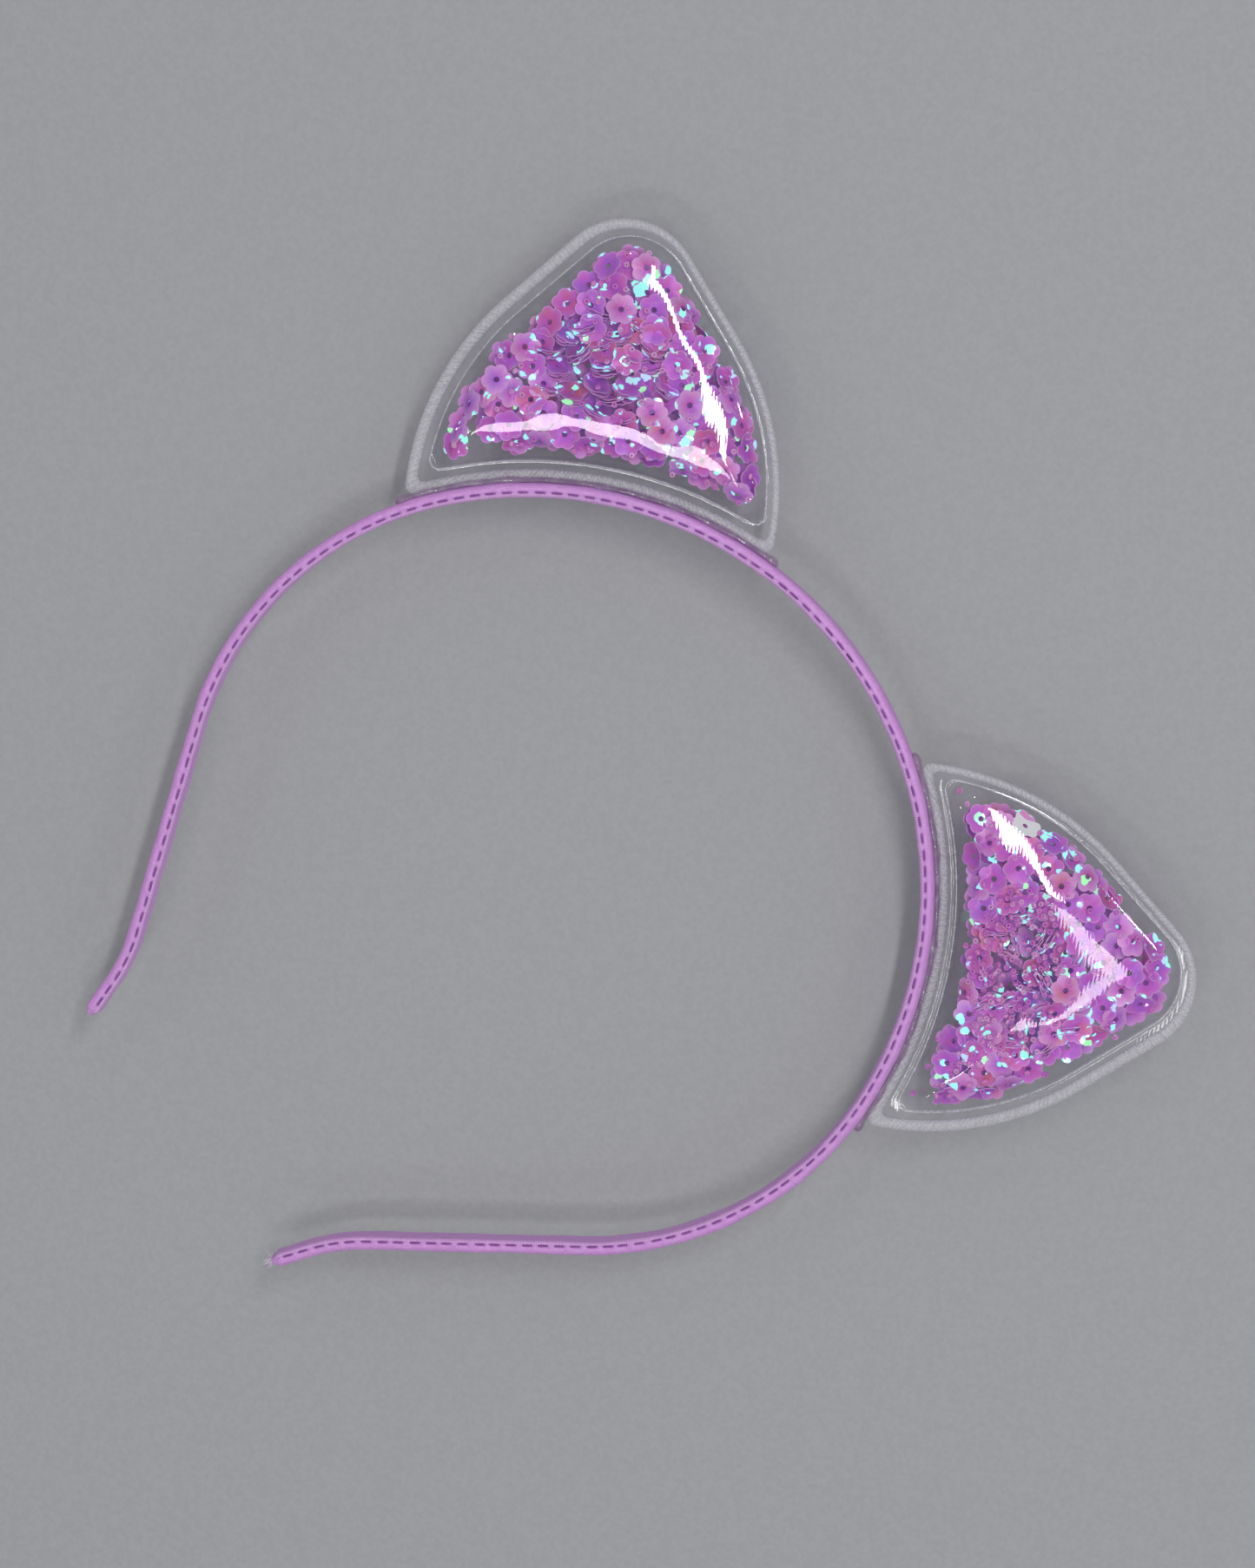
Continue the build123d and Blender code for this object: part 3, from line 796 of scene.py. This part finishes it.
def satin(name="satin_ribbon", worn=0.0):
    """Lilac satin: fine twill threads, a soft sheen, painted shade on the cloth drawn into the seam, and a painted
    highlight on the pleats beside it.
    """
    m = Shader(name)
    cloth = m.detail()
    s, across, seam = (m.part(cloth, axis) for axis in "XYZ")
    lean = m.node("CombineXYZ", {0: m.maths("MULTIPLY_ADD", across, 0.45), 1: across})
    slanted = m.node("CombineXYZ", {0: m.maths("ADD", s, m.maths("MULTIPLY", across, 0.7)), 1: across})
    twill = m.node("TexWave", {"Vector": slanted, "Scale": 1.25, "Distortion": 0.8, "Detail": 1.5}, 1)
    warp = m.node("TexWave", {"Vector": lean, "Scale": 1.9, "Distortion": 1.2}, 1, bands_direction="Y")
    streaks = m.noise(m.node("VectorMath", {0: cloth, 1: (0.5, 5.0, 1.0)}, operation="MULTIPLY"), 1.1, 3.0)
    cloud = m.noise(m.place(), 0.16, 2.0)
    slub = m.noise(m.node("VectorMath", {0: cloth, 1: (6.0, 1.2, 1.0)}, operation="MULTIPLY"), 1.0, 3.0)
    weave = m.maths("ADD", m.maths("MULTIPLY", twill, 0.6), m.maths("MULTIPLY", warp, 0.4))
    pleat_and_painted_highlight = m.node("TexWave", {"Vector": m.node("CombineXYZ", {0: s, 1: m.maths("MULTIPLY", across, 0.3)}),
                               "Scale": 0.86, "Distortion": 1.6, "Detail": 1.0}, 1)
    near = m.maths("MULTIPLY", m.spread(across, -0.25, 0.1), m.spread(across, 1.0, 0.5))
    pleat_and_painted_highlight = m.maths("MULTIPLY", pleat_and_painted_highlight, near)
    height = m.maths("ADD", weave, m.maths("MULTIPLY", slub, 1.2))
    height = m.maths("ADD", height, m.maths("MULTIPLY", pleat_and_painted_highlight, 2.2))
    tone = m.maths("ADD", m.maths("MULTIPLY", streaks, 0.5), m.maths("MULTIPLY", slub, 0.5))
    base = m.ramp(tone, (0.3, srgb(188, 122, 200)), (0.5, srgb(208, 148, 218)), (0.7, srgb(226, 176, 232)))
    base = m.mix(m.spread(cloud, 0.35, 0.65, 0.0, 0.3), base, srgb(196, 130, 210))
    base = m.mix(m.maths("MULTIPLY", weave, 0.25), base, srgb(236, 202, 242))
    # Painted highlight: the raised ridges of the pleats beside the seam are lighter.
    base = m.mix(m.maths("MULTIPLY", pleat_and_painted_highlight, 0.5), base, srgb(240, 208, 244))
    # Painted shade: darker satin in the seam's groove, where the cloth is drawn in.
    base = m.mix(m.maths("MULTIPLY", seam, 0.55), base, srgb(146, 78, 164))
    if worn:
        base = m.mix(worn, base, srgb(222, 176, 232))
    normal = m.bump(height, 0.035, 0.7)
    tangent = m.node("Tangent", direction_type="RADIAL", axis="Y")
    return m.done(m.node("BsdfPrincipled", {
        "Base Color": base, "Metallic": 0.12, "Roughness": m.spread(slub, 0.2, 0.8, 0.36, 0.5),
        "Anisotropic": 0.55, "Anisotropic Rotation": 0.25, "Tangent": tangent, "Normal": normal,
        "Sheen Weight": 0.35, "Sheen Roughness": 0.4, "Sheen Tint": srgb(232, 190, 250),
        "Specular Tint": srgb(240, 205, 255), "Subsurface Weight": 0.05, "Subsurface Scale": 0.5 * MM,
    }))


def thread():
    """Twisted plum sewing thread."""
    m = Shader("plum_thread")
    spot = m.place()
    twist = m.node("TexWave", {"Vector": spot, "Scale": 1.6, "Distortion": 1.0, "Detail": 1.0}, 1,
                   bands_direction="DIAGONAL")
    tone = m.noise(spot, 1.5, 2.0)
    base = m.mix(twist, srgb(124, 54, 144), srgb(164, 94, 182))
    base = m.mix(m.spread(tone, 0.4, 0.7, 0.0, 0.5), base, srgb(106, 42, 130))
    normal = m.bump(twist, 0.03)
    return m.done(m.node("BsdfPrincipled", {
        "Base Color": base, "Roughness": 0.6, "Sheen Weight": 0.3, "Normal": normal}))


def fibre():
    m = Shader("frayed_fibre")
    tone = m.noise(m.place(), 0.9, 2.0)
    base = m.ramp(tone, (0.35, srgb(226, 190, 236)), (0.65, srgb(248, 236, 248)))
    return m.done(m.node("BsdfPrincipled", {"Base Color": base, "Roughness": 0.55, "Sheen Weight": 0.4}))


def steel():
    """Brushed spring steel inside the sleeve."""
    m = Shader("brushed_spring_steel")
    grain = m.noise(m.node("VectorMath", {0: m.place(), 1: (1, 12, 1)}, operation="MULTIPLY"), 2.0, 3.0)
    base = m.ramp(grain, (0.3, srgb(150, 150, 154)), (0.7, srgb(196, 197, 200)))
    return m.done(m.node("BsdfPrincipled", {
        "Base Color": base, "Metallic": 1.0, "Roughness": m.spread(grain, 0.3, 0.7, 0.28, 0.42),
        "Normal": m.bump(grain, 0.01)}))


def seen_through(m, normal, tint, gloss, roughness, ior=1.5):
    """Clear plastic: what is behind shows through, and lights reflect off its outside."""
    fresnel = m.node("Fresnel", {"IOR": ior, "Normal": normal})
    outside = m.maths("SUBTRACT", 1.0, m.node("NewGeometry", out=6))
    share = m.maths("MULTIPLY", m.maths("MULTIPLY", fresnel, gloss), outside, clamp=True)
    shine = m.node("BsdfGlossy", {"Color": (1, 1, 1, 1), "Roughness": roughness, "Normal": normal})
    return m.blend(share, m.node("BsdfTransparent", {"Color": tint}), shine)


def clear_film():
    """Moulded clear PVC with fine flow ripples and a greyer look where it is seen edge on."""
    m = Shader("clear_pvc_film")
    spot = m.place()
    ripple = m.node("TexWave", {"Vector": spot, "Scale": 0.75, "Distortion": 3.0, "Detail": 2.0,
                                "Detail Scale": 0.35}, 1, bands_direction="DIAGONAL")
    swell = m.noise(spot, 0.22, 1.5)
    height = m.maths("ADD", m.maths("MULTIPLY", ripple, 0.05), m.maths("MULTIPLY", swell, 1.5))
    normal = m.bump(height, 0.025, 0.8)
    edge = m.node("LayerWeight", {"Blend": 0.5}, 1)
    tint = m.ramp(edge, (0.0, (0.998, 0.998, 1, 1)), (0.6, (0.98, 0.98, 0.985, 1)), (0.97, (0.92, 0.92, 0.935, 1)))
    clear = seen_through(m, normal, tint, 1.15, 0.02)
    haze = m.node("BsdfDiffuse", {"Color": srgb(225, 222, 230)})
    return m.done(m.blend(m.spread(swell, 0.3, 0.7, 0.004, 0.014), clear, haze))


def frosted_bead():
    """Melted PVC edge: milky, pitted, with fine marks across it, and clearer along its inside."""
    m = Shader("frosted_weld_bead")
    cloth = m.detail()
    spot = m.place()
    marks = m.noise(m.node("VectorMath", {0: cloth, 1: (1.6, 0.35, 0.0)}, operation="MULTIPLY"), 1.0, 3.0)
    pits = m.noise(spot, 2.6, 4.0)
    normal = m.bump(m.maths("ADD", marks, pits), 0.07, 0.8)
    body = m.blend(0.35, m.node("BsdfDiffuse", {"Color": srgb(240, 239, 243), "Normal": normal}),
                   m.node("BsdfTranslucent", {"Color": srgb(240, 239, 243)}))
    clear = seen_through(m, normal, (0.93, 0.93, 0.94, 1), 1.6, 0.18)
    share = m.spread(m.maths("ADD", marks, pits), 0.75, 1.3, 0.25, 0.72)
    share = m.maths("MAXIMUM", m.maths("MULTIPLY", share, 0.9), m.maths("MULTIPLY", m.part(cloth, "Z"), m.spread(pits, 0.4, 0.62, 0.1, 0.7)))
    return m.done(m.blend(share, clear, body))


def clear_glue():
    m = Shader("clear_glue")
    spot = m.place()
    swell = m.noise(spot, 0.7, 2.0)
    normal = m.bump(swell, 0.35, 0.9)
    edge = m.node("LayerWeight", {"Blend": 0.4}, 1)
    # Painted reflection: the clear glue turns purple towards its edges, and its milky patches run to purple,
    # standing in for the lilac satin seen in it.
    tint = m.ramp(edge, (0.1, (0.9, 0.82, 0.92, 1)), (0.8, (0.66, 0.5, 0.7, 1)))
    clear = seen_through(m, normal, tint, 2.2, 0.06)
    milk_and_painted_satin = m.node("BsdfDiffuse", {"Color": m.ramp(swell, (0.35, srgb(168, 110, 168)), (0.65, srgb(196, 188, 200)))})
    return m.done(m.blend(m.spread(swell, 0.3, 0.7, 0.12, 0.3), clear, milk_and_painted_satin))


def sequin():
    """Pearly iridescent plastic: orchid to coral face on, violet aslant, with painted glints: random spots glowing
    mint and ice-blue.
    """
    m = Shader("iridescent_sequin")
    own = m.detail()
    random, edge, tone = (m.part(own, axis) for axis in "XYZ")
    spot = m.place()
    patch = m.noise(spot, 0.42, 1.0)
    aslant = m.node("LayerWeight", {"Blend": 0.5}, 1)
    shift = m.maths("ADD", m.maths("MULTIPLY", random, 0.35), m.maths("MULTIPLY", patch, 0.75))
    face = m.ramp(shift, (0.3, srgb(200, 112, 240)), (0.5, srgb(226, 106, 236)), (0.7, srgb(232, 104, 204)),
                  (0.86, srgb(240, 118, 150)))
    face = m.mix(m.spread(aslant, 0.25, 0.85, 0.0, 0.9), face, srgb(184, 100, 212))
    face = m.mix(m.maths("MULTIPLY", edge, 0.8), face, srgb(252, 204, 252))
    silver = m.maths("GREATER_THAN", tone, 1.5)
    face = m.mix(silver, face, srgb(220, 219, 224))
    body = m.blend(0.35, m.node("BsdfDiffuse", {"Color": face}), m.node("BsdfTranslucent", {"Color": face}))
    rough = m.noise(spot, 3.0, 2.0)
    normal = m.bump(m.noise(spot, 1.3, 2.0), 0.05, 0.5)
    # Painted glints: random Voronoi spots on the sequins glow mint to ice-blue, wherever the lamps are.
    apart = m.node("CombineXYZ", {0: m.maths("MULTIPLY", random, 37.0), 2: m.maths("MULTIPLY", tone, 53.0)})
    wander = m.node("VectorMath", {0: m.noise(spot, 1.1, 1.0, 1), "Scale": 0.9}, operation="SCALE")
    apart = m.node("VectorMath", {0: apart, 1: wander}, operation="ADD")
    apart = m.node("VectorMath", {0: apart, 1: spot}, operation="ADD")
    reach = m.node("TexVoronoi", {"Vector": apart, "Scale": 0.45})
    pick = m.node("TexVoronoi", {"Vector": apart, "Scale": 0.45}, 1)
    size = m.spread(m.part(pick, "X"), 0.38, 1.0, 0.0, 0.5)
    painted_glint_mask = m.spread(m.maths("SUBTRACT", m.maths("SUBTRACT", size, reach), silver), -0.01, 0.03)
    painted_glint_colour = m.ramp(m.part(pick, "Y"), (0.0, (0.32, 1.0, 0.8, 1)), (0.5, (0.36, 0.97, 0.95, 1)),
                   (0.8, (0.5, 0.68, 1.0, 1)), (0.95, (0.38, 1.0, 0.48, 1)))
    painted_glint_glow = m.node("Emission", {"Color": painted_glint_colour, "Strength": 1.45})
    shine = m.node("BsdfGlossy", {"Color": painted_glint_colour, "Roughness": m.spread(rough, 0.3, 0.7, 0.12, 0.3),
                                  "Normal": normal})
    pearl = m.node("BsdfGlossy", {"Color": srgb(244, 190, 248), "Roughness": 0.35, "Normal": normal})
    body = m.blend(0.06, body, pearl)
    # Painted light: the silver sequin partly glows, so that it looks brighter than its lamps light it.
    painted_silver_glow = m.node("Emission", {"Color": srgb(226, 228, 232), "Strength": 0.9})
    body = m.blend(m.maths("MULTIPLY", silver, 0.6), body, painted_silver_glow)
    return m.done(m.blend(painted_glint_mask, body, m.blend(0.35, painted_glint_glow, shine)))


def seed_bead():
    """Little translucent pink rings."""
    m = Shader("pink_seed_bead")
    random = m.part(m.detail(), "X")
    cloud = m.noise(m.place(), 1.4, 2.0)
    tone = m.maths("ADD", m.maths("MULTIPLY", random, 0.6), m.maths("MULTIPLY", cloud, 0.4))
    base = m.ramp(tone, (0.2, srgb(214, 112, 226)), (0.5, srgb(230, 124, 214)), (0.8, srgb(244, 184, 236)))
    return m.done(m.node("BsdfPrincipled", {
        "Base Color": base, "Roughness": m.spread(cloud, 0.3, 0.7, 0.12, 0.25), "Transmission Weight": 0.25,
        "Subsurface Weight": 0.2, "Subsurface Scale": 0.4 * MM}))


def backdrop():
    """A pale matt sheet. It doesn't show from behind."""
    m = Shader("pale_sheet")
    grain = m.noise(m.place(), 1.2, 4.0)
    base = m.ramp(grain, (0.35, srgb(166, 167, 169)), (0.65, srgb(171, 172, 174)))
    face = m.node("BsdfDiffuse", {"Color": base})
    behind = m.node("NewGeometry", out=6)
    return m.done(m.blend(behind, face, m.node("BsdfTransparent")))


# ---- putting it together ------------------------------------------------------------------------------
MATERIALS = {
    "satin": satin(), "melted": satin("melted_ribbon", 0.35), "thread": thread(), "fibre": fibre(),
    "steel": steel(), "film": clear_film(), "bead": frosted_bead(), "glue": clear_glue(), "sequin": sequin(),
    "seed": seed_bead(), "sheet": backdrop(),
}


def place_on_band(distance):
    x, z, _ = along(distance)
    return Vector((x, 0, z)) * MM


def dress_band():
    """The sleeve and its stitches, each in four lengths."""
    for way, side in SIDES:
        joints = {
            "top": (0.0, SPLIT_AT, "crown", f"{side}_shoulder", SHOULDER_ZONE),
            "side": (SPLIT_AT, BAND_END, f"{side}_shoulder", f"{side}_arm", ARM_ZONE),
        }
        for part, (low, high, before, after, zone) in joints.items():
            owner = {"top": "shoulder", "side": "arm"}[part]
            cover = sleeve(f"{side}_{part}_sleeve", way, low, high, MATERIALS["satin"])
            row = stitch_row(f"{side}_{part}_stitches", way, low, high, MATERIALS["thread"])
            ends = [place_on_band(way * spot) for spot in zone]
            for piece, node, slot in ((cover, "satin_cover", "satin"), (row, "seam_stitches", "thread")):
                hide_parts(f"{side}_{owner}_{node}")
                if part == "top" and way == RIGHT:
                    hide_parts(f"crown_{node}")
                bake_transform(piece)
        end, fuzz = sealed_end(f"{side}_ribbon_end", way, MATERIALS["melted"], {RIGHT: 44, LEFT: 6}[way])
        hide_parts(f"{side}_sealed_tip")
        for piece in (end, fuzz.piece(f"{side}_frayed_fibres", MATERIALS["fibre"])):
            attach(piece, f"{side}_arm")


def dress_ear(way, side, filling):
    shoulder = f"{side}_shoulder"
    swell = waves(10, 7.0, 22.0)
    back_swell = waves(10, 7.0, 22.0)
    lumps = waves(10, 2.5, 9.0)
    parts = [
        (film(f"{side}_front_film", way, -1, MATERIALS["film"], swell), "front_film", "clear_film"),
        (film(f"{side}_back_film", way, 1, MATERIALS["film"], back_swell), "back_film", "clear_film"),
        (weld_bead(f"{side}_weld_rim", way, MATERIALS["bead"], lumps), "weld_rim", "weld_bead"),
        (glue(f"{side}_glue", way, MATERIALS["glue"], lumps), "glue_bead", "clear_glue"),
    ]
    for piece, node, slot in parts:
        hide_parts(f"{side}_ear_{node}")
        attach(piece, shoulder)
    loose = [
        (filling.sequins.piece(f"{side}_sequins", MATERIALS["sequin"], way), "flower_sequins", "sequin"),
        (filling.beads.piece(f"{side}_beads", MATERIALS["seed"], way), "seed_beads", "seed_bead"),
    ]
    for piece, node, slot in loose:
        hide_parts(f"{side}_ear_{node}")
        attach(piece, f"{side}_fill")


dress_band()
dress_ear(RIGHT, "right", fill_right())
dress_ear(LEFT, "left", fill_left())
for name, node in frame["nodes"].items():
    if name.endswith("spring_strip"):
        node.data.materials.clear()
        node.data.materials.append(MATERIALS["steel"])

# ---- stage, light and camera --------------------------------------------------------------------------
ROLL = math.radians(54.32)
PICTURE_RIGHT = Vector((math.cos(ROLL), 0, math.sin(ROLL)))
PICTURE_UP = Vector((-math.sin(ROLL), 0, math.cos(ROLL)))
TOWARDS = Vector((0, -1, 0))
AIM = Vector((-4.18, 0, 22.4)) * MM
DISTANCE = 648 * MM


def softbox(name, lean, size, power, distance=0.9, tilt=0.0):
    """A lamp that leans right and up in the picture by these slopes. Its tilt is in degrees, in the picture."""
    data = bpy.data.lights.new(name, "AREA")
    data.shape, data.size, data.size_y, data.energy = "RECTANGLE", *size, power
    lamp = bpy.data.objects.new(name, data)
    away = (TOWARDS + PICTURE_RIGHT * lean[0] + PICTURE_UP * lean[1]).normalized()
    across = (PICTURE_RIGHT - away * PICTURE_RIGHT.dot(away)).normalized()
    turn = Matrix((across, away.cross(across), away)).transposed().to_4x4()
    turn = turn @ Matrix.Rotation(math.radians(tilt), 4, "Z")
    lamp.matrix_world = Matrix.Translation(AIM + away * distance) @ turn
    bpy.context.scene.collection.objects.link(lamp)


def stage():
    half, behind = 2.5, 12 * MM
    corners = [(-half, behind, -half), (half, behind, -half), (half, behind, half), (-half, behind, half)]
    mesh = bpy.data.meshes.new("pale_sheet")
    mesh.from_pydata(corners, [], [(0, 1, 2, 3)])
    mesh.materials.append(MATERIALS["sheet"])
    sheet = bpy.data.objects.new("pale_sheet", mesh)
    bpy.context.scene.collection.objects.link(sheet)


def world():
    """Soft light from everywhere."""
    made = bpy.data.worlds.new("studio")
    made.use_nodes = True
    made.node_tree.nodes["Background"].inputs[0].default_value = (0.86, 0.87, 0.9, 1)
    made.node_tree.nodes["Background"].inputs[1].default_value = 0.43
    bpy.context.scene.world = made


def camera():
    data = bpy.data.cameras.new("photo_view")
    data.sensor_fit, data.sensor_height, data.lens = "VERTICAL", 36.0, 36.0 * 4711 / 1806
    made = bpy.data.objects.new("photo_view", data)
    away = (TOWARDS * math.cos(math.radians(7)) * math.cos(math.radians(4.5))
            + PICTURE_UP * math.sin(math.radians(7)) + PICTURE_RIGHT * math.sin(math.radians(4.5))).normalized()
    across = (PICTURE_RIGHT - away * PICTURE_RIGHT.dot(away)).normalized()
    over = away.cross(across)
    turn = Matrix((across, over, away)).transposed().to_4x4()
    made.matrix_world = Matrix.Translation(AIM + away * DISTANCE) @ turn
    bpy.context.scene.collection.objects.link(made)
    bpy.context.scene.camera = made


stage()
world()
softbox("bar", (0.29, 0.27), (0.05, 0.48), 2.4, tilt=-9)
softbox("pale", (0.2, -0.2), (0.06, 0.26), 0.5, tilt=-21)
softbox("low", (-0.16, -0.3), (0.24, 0.09), 0.85)
for n in range(5):
    turn = math.tau * (n + 0.3) / 5
    softbox(f"spot_{n}", (0.9 * math.cos(turn), 0.9 * math.sin(turn)), (0.05, 0.03), 0.12, tilt=70 * n)
camera()
bpy.context.scene.view_settings.view_transform = "Standard"
bpy.context.scene.cycles.transparent_max_bounces = 24
